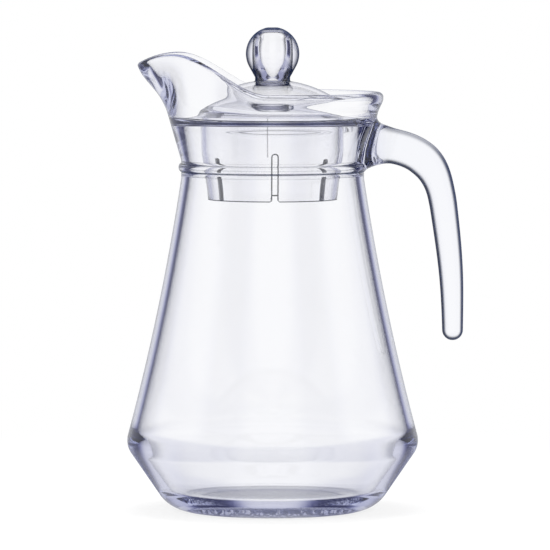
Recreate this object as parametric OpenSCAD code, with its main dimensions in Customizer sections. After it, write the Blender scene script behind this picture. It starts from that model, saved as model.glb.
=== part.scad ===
// Glass pitcher with a lift-off domed lid.
// Millimetres, +Z up. The origin is on the jug's axis at the table, the spout points
// to -X and the handle to +X.

/* [Body] */
// Radius at which the slanted lower wall would meet the table
heel_r = 46.8; // [43:0.1:50]
// Rounding from the foot into the lower wall
heel_round = 17; // [10:0.5:20]
// Radius of the widest edge before it is rounded
belly_r = 67.5; // [63:0.1:71]
// Height of the widest edge
belly_h = 30.2; // [26:0.1:35]
// Rounding of the widest edge
belly_round = 10; // [4:0.5:14]
// Rounding inside the widest edge
inner_round = 6; // [3:0.5:26]
// Outer radius of the waist under the neck
waist_r = 41.8; // [40.5:0.1:43.5]
// Height of the waist
waist_h = 152; // [140:0.5:165]
// Thickness of the side wall
wall = 3.5; // [2.5:0.1:3.9]
// Thickness of the slanted lower wall
heel_wall = 5; // [4:0.1:6]
// Height of the inner floor above the table
floor_h = 7.5; // [6:0.1:9]
// Radius of the hollow under the base
punt_r = 33; // [28:0.5:35]
// Depth of the hollow under the base
punt_h = 1.8; // [1:0.1:2.6]

/* [Neck] */
// Height of the moulded ring above the waist
ring_up = 5.2; // [4.5:0.1:6]
// How far the moulded ring stands proud
ring_proud = 1.2; // [0.6:0.1:1.8]
// Width of the moulded ring
ring_w = 3.8; // [3:0.1:5]
// Height of the flared neck's start above the waist
flare_up = 8.4; // [8:0.1:10]
// Height of the neck's shoulder, where the rim begins, above the waist
shoulder_up = 30.4; // [29:0.1:32]
// Outer radius of the neck's shoulder
shoulder_r = 48.2; // [47.5:0.1:49]
// Height of the flat ledge that carries the lid, above the waist
seat_up = 25.9; // [24:0.1:26.5]
// Rounding from the ledge up into the neck's inner wall
well_round = 4; // [2:0.1:4.4]
// Overlap of the lid's edge on its seat
seat_lap = 0.6; // [0.4:0.1:1.2]
// Extra radius of the seat on the spout side, which leaves the slit that liquid runs through
pour_slit = 0.8; // [0:0.1:1.2]
// Height of the rim above the waist
rim_up = 39.5; // [38.5:0.1:42]
// Outer radius of the rim
rim_r = 50.6; // [50:0.1:52]
// Thickness of the rim
rim_t = 4.4; // [3.6:0.1:5]

/* [Spout] */
// Distance from the jug's axis to the tip of the spout
spout_reach = 61.5; // [58:0.5:66]
// Radius of the spout's nose, seen from above
nose_r = 15; // [10:0.5:20]
// Height of the spout's crest above the rim
spout_rise = 17.9; // [12:0.1:22]
// Distance from the axis to the crest of the spout's sides
crest_out = 45.5; // [42:0.5:50]
// Drop of the lip from the crest to the tip
tip_drop = 4; // [2:0.1:6]
// Thickness of the spout's lip
lip_t = 3.2; // [2.4:0.1:4]

/* [Handle] */
// Height of the handle's arm above the waist
arm_up = 16.2; // [15:0.1:18]
// Distance from the jug's axis to the middle of the grip
grip_out = 82.4; // [78:0.1:90]
// Drop from the arm to the middle of the rounded tip
grip_drop = 85.5; // [70:0.5:95]
// Height of the arm's section where it leaves the neck
arm_t = 16; // [13:0.1:18]
// Thickness of the grip, seen from the side
grip_t = 12.8; // [10:0.1:14]
// Thickness of the tip, seen from the side
tip_t = 9.5; // [8:0.1:11]
// Depth of the arm, seen from behind
arm_w = 15; // [12:0.1:18]
// Depth of the tip, seen from behind
tip_w = 11; // [9:0.1:13]
// How much the root widens where it is stuck to the neck
root_flare = 12; // [6:0.5:14]

/* [Lid] */
// Radius of the lid's edge
lid_r = 40.8; // [40.2:0.1:41.2]
// Height of the lid's upright edge
edge_t = 1; // [0.8:0.1:1.6]
// Radius of the domed top, as a sphere
dome_r = 53.1; // [50:0.1:62]
// Thickness of the dome
dome_t = 1.8; // [1.4:0.1:2.4]
// Clearance between the lid and its seat
lid_gap = 0.3; // [0.2:0.05:0.5]

/* [Knob] */
// Radius of the ball
knob_r = 12.2; // [10:0.1:14]
// Height of the ball's middle above the top of the dome
knob_up = 11.9; // [10:0.1:13]
// Radius of the knob's collar
collar_r = 8; // [7.6:0.1:8.6]
// Radius of the hollow in the knob
hollow_r = 6.2; // [5:0.1:6.4]
// Thickness of the ball over the hollow
crown_t = 2.8; // [2:0.1:4]

/* [Skirt] */
// Outer radius of the skirt at the dome
skirt_r = 32.5; // [30:0.1:34]
// Outer radius of the skirt at its lower end
skirt_low_r = 29.5; // [28:0.1:32]
// Length of the skirt
skirt_h = 41; // [36:0.5:44]
// Length of the skirt's straight upper part
skirt_upright = 16; // [10:0.5:20]
// Thickness of the skirt
skirt_t = 2.2; // [1.6:0.1:2.8]
// Number of slots
slots = 3; // [2:1:8]
// Angle of the first slot from the front, towards the handle
slot_turn = 2; // [0:1:30]
// Width of a slot
slot_w = 2.3; // [1.6:0.1:3]
// Length of a slot
slot_h = 23; // [16:0.5:26]

/* [Hidden] */
$fn = 96;
// Steps round the neck and the spout, and along the side, arcs, lip and handle
turns = 96;
side_steps = 20;
arc_steps = 8;
slot_steps = 4;
cone_steps = 4;
wall_steps = 9;
lip_steps = 5;
arm_steps = 34;
section_steps = 20;
well_steps = 5;
// One overrun serves all cuts
over = 1;

// Side of the body: how far up the waist's and belly's tangents meet, and how far in
side_up_share = 0.488;
side_in_share = 0.63;
// Rounding where the side meets the waist, as a share of the waist's radius
waist_round_share = 0.35;
// Width of the hollow's steep edge under the base, as a share of its radius
punt_share = 0.7;

// Heights of the neck
ring_z = waist_h + ring_up;
flare_z = waist_h + flare_up;
shoulder_z = waist_h + shoulder_up;
seat_z = waist_h + seat_up;
rim_z = waist_h + rim_up;
// The faceted neck starts this far down inside the wall of the round vessel
root_lap = 2;
root_inset = 0.9;
skin = 0.04;
seat_r = lid_r - seat_lap;
well_r = rim_r - rim_t;

// Shares that shape the spout's wall between shoulder and lip
start_share = 0.04;
wall_out_shares = [0.2, 0.73];
wall_up_shares = [0.5, 0.64];
trough_out_shares = [-0.15, 0.48];
trough_up_shares = [0.6, 0.725];
lip_tilt_share = 0.4;

// Handle: control points of its centre line, as shares of its reach and its drop
arm_out_shares = [-0.05, 0.658, 0.828, 0.899, 0.987, 0.995, 1];
arm_drop_shares = [0, 0.005, 0.105, 0.348, 0.653, 0.743, 1];
// Where the root's flare ends, where the grip has its own thickness, and how square it is
flare_share = 0.12;
bend_share = 0.24;
grip_share = 0.46;
squareness = 2.5;

// Heights of the lid
lid_z = seat_z + lid_gap;
edge_in = edge_t;
dome_z = lid_z + edge_t - sqrt(dome_r^2 - (lid_r - edge_in)^2);
dome_top = dome_z + dome_r;
// Skirt's seat: a flat land on the underside of the dome and a rib inside the skirt
land_drop = 0.4;
land_z = under(skirt_r) - land_drop;
rib_h = 2.4;
rib_t = 1.2;
fit = 0.1;
// Knob's seat: a flat land on top of the dome and a spigot through it
foot_flare = 0.6;
knob_land = dome_z + sqrt(dome_r^2 - (collar_r + foot_flare)^2);
knob_z = dome_top + knob_up;
spigot_r = (collar_r + hollow_r) / 2;
knob_taper = 29;
crown_flat_share = 0.2;
hollow_round_share = 0.6;
slot_round_share = 0.6;

function clip(t) = min(1, max(0, t));
function smooth(t) = clip(t)^2 * (3 - 2 * clip(t));
function lerp(a, b, t) = a + (b - a) * t;
function unit(v) = v / norm(v);
function left(v) = [-v.y, v.x];
function last(list) = list[len(list) - 1];
function reversed(list) = [for (i = [len(list) - 1:-1:0]) list[i]];
// Crossing of the line through p along u with the line through q along v
function meet(p, u, q, v) = p + u * cross(q - p, v) / cross(u, v);
function bez2(a, b, c, t) = lerp(lerp(a, b, t), lerp(b, c, t), t);
function bez3(a, b, c, d, t) = lerp(bez2(a, b, c, t), bez2(b, c, d, t), t);
// Arc of radius r that rounds the corner b between a and c
function rounded(a, b, c, r, steps = arc_steps) =
    let (u = unit(a - b), v = unit(c - b), half = acos(u * v) / 2,
         m = b + unit(u + v) * r / sin(half),
         p = b + u * r / tan(half) - m, q = b + v * r / tan(half) - m,
         from = atan2(p.y, p.x), turn = atan2(cross(p, q), p * q))
    [for (i = [0:steps]) m + r * [cos(from + turn * i / steps), sin(from + turn * i / steps)]];

// Round vessel, outer side from the foot to the waist
heel = [heel_r, 0];
belly = [belly_r, belly_h];
waist = [waist_r, waist_h];
side_turn = [lerp(belly_r, waist_r, side_in_share), lerp(belly_h, waist_h, side_up_share)];
function side(t) = bez2(belly, side_turn, waist, t);
function side_way(t) = unit(lerp(side_turn - belly, waist - side_turn, t));
low_way = unit(belly - heel);
inner_low = heel + left(low_way) * heel_wall;
inner_belly = meet(inner_low, low_way, belly + left(side_way(0)) * wall, side_way(0));
outer_side = [for (i = [1:side_steps - 1])
    let (p = side(i / side_steps)) if (p.y > belly_h + belly_round / 2) p];
inner_side = [for (i = [1:side_steps - 1])
    let (p = side(i / side_steps) + left(side_way(i / side_steps)) * wall)
    if (p.y > inner_belly.y + inner_round / 2) p];
inner_heel = meet(inner_low, low_way, [0, floor_h], [1, 0]);
inner_waist = [waist_r - wall, waist_h];
ring = [for (i = [0:arc_steps])
    let (a = -90 + 180 * i / arc_steps)
    [waist_r + ring_proud * cos(a), ring_z + ring_w / 2 * sin(a)]];
function waist_arc(a, b, c) = rounded(a, b, c, waist_r * waist_round_share);

outside = concat(
    rounded([punt_r, 0], heel, belly, heel_round),
    rounded(heel, belly, outer_side[0], belly_round),
    outer_side,
    waist_arc(last(outer_side), waist, waist + [0, ring_up]),
    ring);
inside = concat(
    rounded([0, floor_h], inner_heel, inner_belly, heel_round - heel_wall),
    rounded(inner_heel, inner_belly, inner_side[0], inner_round),
    inner_side,
    waist_arc(last(inner_side), inner_waist, inner_waist + [0, ring_up]));

module vessel() {
    punt = [for (i = [0:arc_steps])
        bez2([0, punt_h], [punt_r * punt_share, punt_h], [punt_r, 0], i / arc_steps)];
    rotate_extrude()
        polygon(concat(
            punt, outside,
            [[waist_r, flare_z], [waist_r - wall, flare_z]],
            reversed(inside), [[0, floor_h]]));
}

// Rim and spout, where a is the angle from the spout's direction
nose_out = spout_reach - nose_r;
side_a = acos((rim_r - nose_r) / nose_out);
nose_a = atan2(nose_r * sin(side_a), nose_out + nose_r * cos(side_a));
function lip_r(a) =
    abs(a) >= side_a ? rim_r
    : abs(a) >= nose_a ? rim_r / cos(side_a - abs(a))
    : nose_out * cos(a) + sqrt(nose_r^2 - (nose_out * sin(a))^2);
function out(a) = lip_r(a) * cos(a);
function climb(a) = smooth((out(a) / crest_out - start_share) / (1 - start_share));
function tip(a) = clip((out(a) - crest_out) / (spout_reach - crest_out));
function lip_z(a) = rim_z + spout_rise * climb(a) - tip_drop * tip(a)^2;
function lip_w(a) = lerp(rim_t, lip_t, climb(a));

// Closed section of the neck's wall at angle a: up the outside, over the lip, down the inside
function neck_section(a) =
    let (w = lip_w(a), reach = lip_r(a) - rim_r, lean = w * lip_tilt_share * tip(a),
         slit = pour_slit * climb(a),
         shoulder = [shoulder_r, shoulder_z],
         outer = [lip_r(a), lip_z(a) - w / 2 - lean / 2],
         inner = [lip_r(a) - w, lip_z(a) - w / 2 + lean / 2],
         seat = [seat_r + slit, seat_z], well = [well_r, seat_z + well_round],
         bowl = rounded(well + [0, well_round], [well_r, seat_z], seat, well_round, well_steps),
         rise = outer.y - shoulder.y, depth = inner.y - well.y, dip = inner.x - well.x,
         o1 = [lerp(shoulder.x, rim_r, 0.5) + reach * wall_out_shares[0],
               shoulder.y + rise * wall_up_shares[0]],
         o2 = [outer.x - reach * (1 - wall_out_shares[1]), shoulder.y + rise * wall_up_shares[1]],
         i1 = [well.x + dip * trough_out_shares[0], well.y + depth * trough_up_shares[0]],
         i2 = [well.x + dip * trough_out_shares[1], well.y + depth * trough_up_shares[1]],
         mid = (outer + inner) / 2, half = (outer - inner) / 2)
    concat(
        [[waist_r - root_inset, flare_z - root_lap]],
        [for (i = [0:cone_steps - 1]) lerp([waist_r - skin, flare_z + skin], shoulder, i / cone_steps)],
        [for (i = [0:wall_steps]) bez3(shoulder, o1, o2, outer, i / wall_steps)],
        [for (i = [1:lip_steps])
            let (s = 180 * i / (lip_steps + 1))
            mid + half * cos(s) + left(unit(half)) * w / 2 * sin(s)],
        [for (i = [0:wall_steps]) bez3(inner, i2, i1, well, i / wall_steps)],
        [for (i = [1:well_steps]) bowl[i]],
        [seat, [waist_r - wall + skin, flare_z + skin]],
        [[waist_r - wall + root_inset, flare_z - root_lap]]);

// Skin over closed rings of points, each with as many points as the next
module skin_over(rings, ring_closed = true, loop_closed = true) {
    n = len(rings[0]);
    m = len(rings);
    faces = [for (j = [0:m - (loop_closed ? 1 : 2)], i = [0:n - 1])
        [j * n + i, j * n + (i + 1) % n, (j + 1) % m * n + (i + 1) % n, (j + 1) % m * n + i]];
    polyhedron(
        points = [for (r = rings, p = r) p],
        faces = concat(
            faces,
            loop_closed ? [] : [reversed([for (i = [0:n - 1]) i])],
            loop_closed ? [] : [[for (i = [0:n - 1]) (m - 1) * n + i]]),
        convexity = 8);
}

module neck() {
    skin_over([for (j = [0:turns - 1])
        let (a = 360 * j / turns, s = a > 180 ? a - 360 : a)
        [for (p = neck_section(s)) [-p.x * cos(a), -p.x * sin(a), p.y]]]);
}

module jug_body() {
    color([0.86, 0.88, 0.94, 0.4]) {
        vessel();
        neck();
    }
}

// Handle: a rounded section that follows the arm's centre line
arm_z = waist_h + arm_up;
function arm_point(i) = [
    lerp(waist_r, grip_out, arm_out_shares[i]), arm_z - grip_drop * arm_drop_shares[i]];
function arm_piece(k, t) =
    bez3(arm_point(3 * k), arm_point(3 * k + 1), arm_point(3 * k + 2), arm_point(3 * k + 3), t);
function arm(u) = u < 0.5 ? arm_piece(0, 2 * u) : arm_piece(1, 2 * u - 1);
function arm_way(u) =
    let (h = 1 / arm_steps) unit(arm(min(1, u + h)) - arm(max(0, u - h)));
function arm_flare(u) = root_flare * (1 - clip(u / flare_share))^2;
function arm_height(u) = arm_flare(u)
    + (u < grip_share ? lerp(arm_t, grip_t, smooth((u - bend_share) / (grip_share - bend_share)))
    : lerp(grip_t, tip_t, (u - grip_share) / (1 - grip_share)));
function arm_depth(u) = arm_flare(u) + lerp(arm_w, tip_w, u);
function power(x) = sign(x) * abs(x)^(2 / squareness);
function arm_ring(u, shrink = 1, ahead = 0) =
    let (m = arm(u), w = arm_way(u), n = left(w), t = arm_height(u) / 2, d = arm_depth(u) / 2)
    [for (i = [0:section_steps - 1])
        let (s = 360 * i / section_steps,
             p = m + w * ahead + n * t * shrink * power(cos(s)))
        [p.x, d * shrink * power(sin(s)), p.y]];

module handle_rod() {
    skin_over(concat(
        [for (i = [0:arm_steps]) arm_ring(i / arm_steps)],
        [for (i = [1:lip_steps])
            let (s = 90 * i / (lip_steps + 0.5)) arm_ring(1, cos(s), tip_t / 2 * sin(s))]),
        loop_closed = false);
}

// The jug's outer form as a solid, which the hot handle is pressed against
module jug_form() {
    back = neck_section(180);
    rotate_extrude()
        polygon(concat(
            [[0, 0]], outside, [for (i = [1:cone_steps + wall_steps + 1]) back[i]], [[0, rim_z]]));
}

module handle() {
    color([0.88, 0.9, 0.95, 0.5])
        difference() {
            handle_rod();
            jug_form();
        }
}

// Height of the dome's underside at radius r
function under(r) = dome_z + sqrt((dome_r - dome_t)^2 - r^2);
function dome_arc(radius, from_r, to_r) =
    let (a = acos(from_r / radius), b = acos(to_r / radius))
    [for (i = [0:2 * arc_steps])
        let (s = lerp(a, b, i / (2 * arc_steps))) [radius * cos(s), dome_z + radius * sin(s)]];

module lid_dome() {
    inner_r = dome_r - dome_t;
    brim_r = sqrt(inner_r^2 - (lid_z - dome_z)^2);
    rib_r = skirt_r - skirt_t - fit;
    color([0.9, 0.9, 0.95, 0.4])
        rotate_extrude()
            polygon(concat(
                [[spigot_r, knob_land], [collar_r + foot_flare, knob_land]],
                dome_arc(dome_r, collar_r + foot_flare + skin, lid_r - edge_in),
                [[lid_r, lid_z + edge_t / 2], [lid_r, lid_z]],
                dome_arc(inner_r, brim_r, skirt_r),
                [[skirt_r, land_z], [rib_r, land_z], [rib_r, land_z - rib_h]],
                [[rib_r - rib_t, land_z - rib_h]],
                dome_arc(inner_r, rib_r - rib_t, spigot_r)));
}

module lid_knob() {
    taper = [cos(knob_taper), -sin(knob_taper)];
    crown_r = knob_r * crown_flat_share;
    crown_a = acos(crown_r / knob_r);
    ball = [for (i = [0:3 * arc_steps])
        let (s = lerp(crown_a, -knob_taper, i / (3 * arc_steps)))
        [knob_r * cos(s), knob_z + knob_r * sin(s)]];
    throat = meet([0, knob_z] + knob_r * taper, left(taper), [collar_r, 0], [0, 1]);
    hollow_top = knob_z + knob_r - crown_t;
    hollow = rounded([0, hollow_top], [hollow_r, hollow_top], [hollow_r, knob_land],
        hollow_r * hollow_round_share);
    color([0.88, 0.88, 0.95, 0.5])
        rotate_extrude()
            polygon(concat(
                [[0, hollow_top]], [[0, knob_z + knob_r * sin(crown_a)]], ball,
                [throat, [collar_r, knob_land + foot_flare]],
                [[collar_r + foot_flare, knob_land], [spigot_r - fit / 2, knob_land]],
                [[spigot_r - fit / 2, under(spigot_r)], [hollow_r, under(spigot_r)]],
                reversed(hollow)));
}

// Outline of one slot, open at the bottom with rounded corners, centred on the Y axis
module slot_outline() {
    half = slot_w / 2;
    r = slot_w * slot_round_share;
    top = [for (i = [0:arc_steps])
        let (s = 180 - 180 * i / arc_steps)
        [half * cos(s), slot_h - half + half * sin(s)]];
    corner = [for (i = [0:slot_steps])
        let (s = 90 * i / slot_steps)
        [half + r * (1 - cos(s)), r * (1 - sin(s)) - skin]];
    polygon(concat(
        top, corner, [[half + r, -over], [-half - r, -over]],
        reversed([for (p = corner) [-p.x, p.y]])));
}

module lid_skirt() {
    low_z = land_z - skirt_h;
    bend_z = land_z - skirt_upright;
    slot_in = skirt_low_r - skirt_t - 2 * over;
    color([0.9, 0.9, 0.95, 0.4])
        difference() {
            rotate_extrude()
                polygon([
                    [skirt_r, land_z], [skirt_r - skirt_t, land_z],
                    [skirt_r - skirt_t, bend_z], [skirt_low_r - skirt_t, low_z],
                    [skirt_low_r, low_z], [skirt_r, bend_z]]);
            for (i = [0:slots - 1])
                rotate([0, 0, slot_turn - 90 + 360 * i / slots])
                    translate([slot_in, 0, low_z])
                        rotate([90, 0, 90])
                            linear_extrude(skirt_r + over - slot_in)
                                slot_outline();
        }
}

jug_body();
handle();
lid_dome();
lid_knob();
lid_skirt();
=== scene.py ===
"""Glass pitcher with a lift-off domed lid, dressed for a product picture.

Metres, +Z up. The jug's axis is Z, its spout points to -X and its handle to +X.
"""

from math import acos, atan2, cos, pi, radians, sin, sqrt, tan

import bmesh
import bpy
from bpy.props import FloatProperty, FloatVectorProperty, IntProperty, PointerProperty
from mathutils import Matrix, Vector


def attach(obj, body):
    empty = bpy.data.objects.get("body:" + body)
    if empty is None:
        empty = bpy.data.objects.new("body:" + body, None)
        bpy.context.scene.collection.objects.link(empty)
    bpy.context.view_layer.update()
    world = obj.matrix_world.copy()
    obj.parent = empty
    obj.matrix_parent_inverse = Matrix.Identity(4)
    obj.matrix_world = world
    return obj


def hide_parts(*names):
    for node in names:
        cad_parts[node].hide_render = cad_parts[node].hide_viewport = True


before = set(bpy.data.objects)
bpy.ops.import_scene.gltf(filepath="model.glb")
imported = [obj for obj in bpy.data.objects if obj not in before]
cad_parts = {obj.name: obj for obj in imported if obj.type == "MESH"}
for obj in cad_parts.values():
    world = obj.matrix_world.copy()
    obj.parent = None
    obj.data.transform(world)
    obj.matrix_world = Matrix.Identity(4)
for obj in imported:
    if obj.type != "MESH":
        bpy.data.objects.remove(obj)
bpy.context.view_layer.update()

bl_info = {
    "name": "Glass pitcher",
    "version": (1, 0, 0),
    "blender": (4, 5, 0),
    "location": "View3D > Sidebar > Pitcher",
    "description": "Builds a clear glass pitcher with a domed lid and its studio",
    "category": "Add Mesh",
}

MM = 0.001
TINY = 1e-6  # metres, which keeps a division off zero


def number(name, default, description, **more):
    """A number that the user may change."""
    return FloatProperty(name=name, description=description, default=default, **more)


def size(name, default, description):
    """A length in millimetres."""
    return number(name, default, description, min=0.0, precision=2)


def length(name, default, description):
    """A length in metres."""
    return number(name, default, description, subtype="DISTANCE", unit="LENGTH")


def several(name, default, description, **more):
    """A few numbers that belong together."""
    return FloatVectorProperty(name=name, description=description, default=default,
                               size=len(default), **more)


def colour(name, default, description):
    return several(name, default, description, subtype="COLOR", min=0.0, max=1.0)


class JugSizes(bpy.types.PropertyGroup):
    """Sizes of the glass jug, in millimetres."""

    heel_r: size("Heel radius", 46.8, "Radius where the slanted wall would meet the table")
    heel_round: size("Heel rounding", 17.0, "Rounding from the foot into the lower wall")
    belly_r: size("Belly radius", 67.5, "Radius of the widest edge before it is rounded")
    belly_h: size("Belly height", 30.2, "Height of the widest edge")
    belly_round: size("Belly rounding", 10.0, "Rounding of the widest edge")
    inner_round: size("Inner rounding", 12.0, "Rounding inside the widest edge")
    waist_r: size("Waist radius", 41.8, "Outer radius of the waist under the neck")
    waist_h: size("Waist height", 152.0, "Height of the waist")
    wall: size("Wall", 3.5, "Thickness of the side wall")
    heel_wall: size("Lower wall", 5.0, "Thickness of the slanted lower wall")
    floor_h: size("Floor height", 7.5, "Height of the inner floor above the table")
    punt_r: size("Punt radius", 33.0, "Radius of the hollow under the base")
    punt_h: size("Punt depth", 1.8, "Depth of the hollow under the base")
    ring_up: size("Ring height", 5.2, "Height of the moulded ring above the waist")
    ring_proud: size("Ring depth", 1.2, "How far the moulded ring stands proud")
    ring_w: size("Ring width", 3.8, "Width of the moulded ring")
    flare_up: size("Flare height", 8.4, "Height of the flared neck's start above the waist")
    shoulder_up: size("Shoulder height", 30.4, "Height of the neck's shoulder above the waist")
    shoulder_r: size("Shoulder radius", 48.2, "Outer radius of the neck's shoulder")
    seat_up: size("Seat height", 25.9, "Height of the lid's seat above the waist")
    seat_r: size("Seat radius", 40.2, "Inner radius of the lid's seat")
    well_round: size("Ledge rounding", 4.0, "Rounding from the ledge into the neck's wall")
    pour_slit: size("Pouring slit", 0.8, "Extra radius of the seat on the spout side")
    rim_up: size("Rim height", 39.5, "Height of the rim above the waist")
    rim_r: size("Rim radius", 50.6, "Outer radius of the rim")
    rim_t: size("Rim thickness", 4.4, "Thickness of the rim")
    spout_reach: size("Spout reach", 61.5, "Distance from the axis to the spout's tip")
    nose_r: size("Nose radius", 15.0, "Radius of the spout's nose, seen from above")
    spout_rise: size("Spout rise", 17.9, "Height of the spout's crest above the rim")
    crest_out: size("Crest distance", 45.5, "Distance from the axis to the crest of the spout")
    tip_drop: size("Tip drop", 4.0, "Drop of the lip from the crest to the tip")
    lip_t: size("Lip thickness", 3.2, "Thickness of the spout's lip")
    edge_round: size("Edge rounding", 0.5, "Rounding of the ledge's edge")


class HandleSizes(bpy.types.PropertyGroup):
    """Sizes of the open handle, in millimetres."""

    arm_up: size("Arm height", 16.2, "Height of the handle's arm above the waist")
    grip_out: size("Grip distance", 82.4, "Distance from the axis to the grip's middle")
    grip_drop: size("Grip drop", 85.5, "Drop from the arm to the tip's middle")
    arm_t: size("Arm thickness", 16.0, "Height of the arm where it leaves the neck")
    grip_t: size("Grip thickness", 12.8, "Thickness of the grip, seen from the side")
    tip_t: size("Tip thickness", 9.5, "Thickness of the tip, seen from the side")
    arm_w: size("Arm depth", 15.0, "Depth of the arm, seen from behind")
    tip_w: size("Tip depth", 11.0, "Depth of the tip, seen from behind")
    root_flare: size("Root flare", 12.0, "How much the root widens at the neck")


class LidSizes(bpy.types.PropertyGroup):
    """Sizes of the clear lid, in millimetres."""

    lid_r: size("Lid radius", 40.8, "Radius of the lid's edge")
    lid_z: size("Lid height", 178.2, "Height of the lid's underside above the table")
    edge_t: size("Edge height", 1.0, "Height of the lid's upright edge")
    dome_r: size("Dome radius", 53.1, "Radius of the domed top, as a sphere")
    dome_t: size("Dome thickness", 1.8, "Thickness of the dome")
    knob_r: size("Knob radius", 12.2, "Radius of the ball")
    knob_up: size("Knob height", 11.9, "Height of the ball's middle above the dome")
    collar_r: size("Collar radius", 8.0, "Radius of the knob's collar")
    hollow_r: size("Hollow radius", 6.2, "Radius of the hollow in the knob")
    crown_t: size("Crown thickness", 2.8, "Thickness of the ball over the hollow")
    skirt_r: size("Skirt radius", 32.5, "Outer radius of the skirt at the dome")
    skirt_low_r: size("Skirt lower radius", 29.5, "Outer radius of the skirt at its lower end")
    skirt_h: size("Skirt length", 41.0, "Length of the skirt")
    skirt_upright: size("Skirt upright", 16.0, "Length of the skirt's straight upper part")
    skirt_t: size("Skirt thickness", 2.2, "Thickness of the skirt")
    slots: IntProperty(name="Slots", description="Number of slots in the skirt", default=3, min=2)
    slot_turn: number("Slot turn", radians(2), "Turn of the front slot towards the handle",
                      subtype="ANGLE")
    slot_w: size("Slot width", 2.3, "Width of a slot")
    slot_h: size("Slot length", 23.0, "Length of a slot")
    joint_gap: size("Joint gap", 0.06, "Air gap where two pieces of the lid meet")


class GlassLooks(bpy.types.PropertyGroup):
    """Colours, painted edge shade and finish of the glass and of the lid's clear plastic."""

    tint: colour("Glass tint", (0.62, 0.67, 0.88), "Colour of long paths through the glass")
    depth: number("Tint depth", 12.0, "How fast the glass takes its tint, per metre")
    lid_tint: colour("Lid tint", (0.66, 0.68, 0.88), "Colour of long paths through the lid")
    lid_depth: number("Lid tint depth", 9.0, "How fast the lid takes its tint, per metre")
    # Painted shade: the edge colour darkens skins seen edge-on, by the Layer Weight start and
    # width and the two shares below, and it colours the painted outlines, creases and cut edges.
    edge: colour("Edge colour", (0.02, 0.03, 0.07), "Colour of a skin that is seen edge-on")
    edge_shade_from: number("Edge start", 0.6, "Layer Weight at which the edge colour begins")
    edge_shade_wide: number("Edge width", 0.3, "Layer Weight over which the edge colour grows")
    edge_shade_share: number("Edge share", 0.3, "How much edge colour the jug's skin takes")
    lid_edge_shade_share: number("Lid edge share", 0.1, "How much edge colour the lid's skin takes")
    wave: number("Waviness", 0.03, "Depth of the uneven pressed surface")
    wave_scale: number("Wave scale", 32.0, "How many waves there are to a metre")
    wave_rough: number("Wave roughness", 0.012, "Roughness on the waves")
    grain: number("Grain depth", 0.5, "Depth of the stipple under the base")
    grain_scale: number("Grain scale", 620.0, "How many grains of stipple there are to a metre")
    grain_rough: number("Grain roughness", 0.2, "Roughness of the stipple")


# ---- plane outlines


def clip(t):
    return min(1.0, max(0.0, t))


def smooth(t):
    t = clip(t)
    return t * t * (3 - 2 * t)


def lerp(a, b, t):
    return a + (b - a) * t


def at(r, z):
    """A place in the plane, by radius and height."""
    return Vector((r, z))


def left(v):
    return at(-v.y, v.x)


def cross(a, b):
    return a.x * b.y - a.y * b.x


def meet(p, u, q, v):
    """Crossing of the line through p along u with the line through q along v."""
    return p + u * (cross(q - p, v) / cross(u, v))


def bez2(a, b, c, t):
    return lerp(lerp(a, b, t), lerp(b, c, t), t)


def bez3(a, b, c, d, t):
    return lerp(bez2(a, b, c, t), bez2(b, c, d, t), t)


def rounded(a, b, c, r, steps):
    """Arc of radius r that rounds the corner b between a and c."""
    u, v = (a - b).normalized(), (c - b).normalized()
    half = acos(max(-1.0, min(1.0, u.dot(v)))) / 2
    m = b + (u + v).normalized() * (r / sin(half))
    p, q = b + u * (r / tan(half)) - m, b + v * (r / tan(half)) - m
    start, turn = atan2(p.y, p.x), atan2(cross(p, q), p.dot(q))
    return [m + at(cos(start + turn * i / steps), sin(start + turn * i / steps)) * r
            for i in range(steps + 1)]


def with_roundings(points, r, steps=5):
    """The open outline with each inner corner rounded by r, as its two ends stay."""
    out = [points[0]]
    for a, b, c in zip(points, points[1:], points[2:]):
        out += rounded(a, b, c, r, steps)
    return out + [points[-1]]


def line(a, b, steps):
    """Points from a towards b, without b."""
    return [lerp(a, b, i / steps) for i in range(steps)]


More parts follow.
